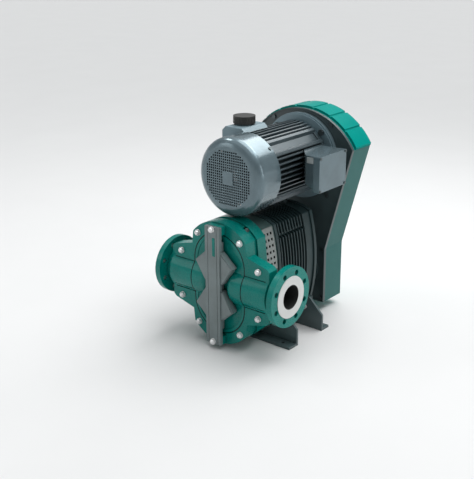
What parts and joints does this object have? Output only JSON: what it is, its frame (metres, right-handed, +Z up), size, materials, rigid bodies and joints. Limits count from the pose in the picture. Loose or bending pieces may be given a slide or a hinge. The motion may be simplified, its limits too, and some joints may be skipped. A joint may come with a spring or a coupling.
{
  "type": "rotary lobe pump with belt drive",
  "caption": "Flanged rotary lobe pump: two meshing rotors behind a clamped cover, timing gears in a finned housing, and a motor on top that drives the lower shaft by a toothed belt in a guard.",
  "frame": {"origin": "on the floor, under the middle of the pump's overall length and depth", "axes": "+X along the flow axis from port to port, -Y towards the clamped front cover, +Z up"},
  "size_m": [0.497, 0.602, 0.7343],
  "materials": {
    "green_paint": "satin",
    "dark_paint": "satin",
    "motor_paint": "satin",
    "clamp_paint": "satin",
    "lantern_paint": "satin",
    "guard_sheet": "satin",
    "cap_plastic": "matt",
    "fan_plastic": "matt",
    "machined_iron": "satin",
    "wear_steel": "satin",
    "shaft_steel": "polished",
    "zinc_steel": "polished",
    "seal_rubber": "matt",
    "belt_rubber": "matt",
    "rotor_rubber": "matt"
  },
  "bodies": {
    "base": {"pump_housing": "green_paint", "front_cover": "green_paint", "cover_seal": "seal_rubber", "clamp_bridge": "clamp_paint", "clamp_studs": "zinc_steel", "head_bolts": "zinc_steel", "ear_bolts": "zinc_steel", "front_wear_plate": "wear_steel", "rear_wear_plate": "wear_steel", "rear_plate": "lantern_paint", "plate_screws": "zinc_steel", "lantern": "lantern_paint", "lantern_guards": "guard_sheet", "seal_seats": "wear_steel", "gear_housing": "dark_paint", "gear_cover": "dark_paint", "gear_cover_screws": "zinc_steel", "fill_plug": "dark_paint", "drain_plug": "dark_paint", "bearing_outer_rings": "shaft_steel", "bearing_rollers": "shaft_steel", "lip_seal": "seal_rubber", "drive_belt": "belt_rubber", "guard_plate": "dark_paint", "belt_guard": "green_paint", "guard_screws": "zinc_steel", "motor_frame": "motor_paint", "fan_end_shield": "motor_paint", "drive_end_shield": "motor_paint", "motor_stator": "machined_iron", "motor_bearing_rings": "shaft_steel", "fan_cowl": "motor_paint", "cowl_screws": "zinc_steel", "motor_bolts": "zinc_steel", "terminal_box": "motor_paint", "terminal_lid": "motor_paint", "lid_screws": "zinc_steel", "fluid_tank": "motor_paint", "front_foot": "dark_paint", "rear_foot": "dark_paint", "foot_bolts": "zinc_steel"},
    "lower_shaft_set": {"lower_rotor": "rotor_rubber", "lower_rotor_screw": "zinc_steel", "lower_seal_ring": "wear_steel", "lower_bearing_rings": "shaft_steel", "lower_shaft": "shaft_steel", "lower_gear": "machined_iron", "driven_pulley": "machined_iron"},
    "upper_shaft_set": {"upper_rotor": "rotor_rubber", "upper_rotor_screw": "zinc_steel", "upper_seal_ring": "wear_steel", "upper_bearing_rings": "shaft_steel", "upper_shaft": "shaft_steel", "upper_gear": "machined_iron"},
    "motor_rotor": {"motor_core": "shaft_steel", "motor_shaft": "shaft_steel", "motor_bearing_cores": "shaft_steel", "motor_fan": "fan_plastic", "motor_pulley": "machined_iron"},
    "tank_cap": {"tank_cap": "cap_plastic"}
  },
  "joints": [
    {"name": "lower_shaft_spin", "type": "hinge", "parent": "base", "child": "lower_shaft_set", "pos_m": [0, -0.199, 0.158], "axis": [0, 1, 0], "continuous": true},
    {"name": "upper_shaft_spin", "type": "hinge", "parent": "base", "child": "upper_shaft_set", "pos_m": [0, -0.199, 0.282], "axis": [0, 1, 0], "continuous": true},
    {"name": "motor_spin", "type": "hinge", "parent": "base", "child": "motor_rotor", "pos_m": [0, -0.099, 0.56341], "axis": [0, 1, 0], "continuous": true},
    {"name": "tank_cap_turn", "type": "hinge", "parent": "base", "child": "tank_cap", "pos_m": [-0.074, -0.031, 0.69941], "axis": [0, 0, 1], "range_deg": [0, 90]}
  ],
  "couplings": [
    {"joint": "upper_shaft_spin", "follows": "lower_shaft_spin", "ratio": -1},
    {"joint": "motor_spin", "follows": "lower_shaft_spin", "ratio": 2}
  ]
}
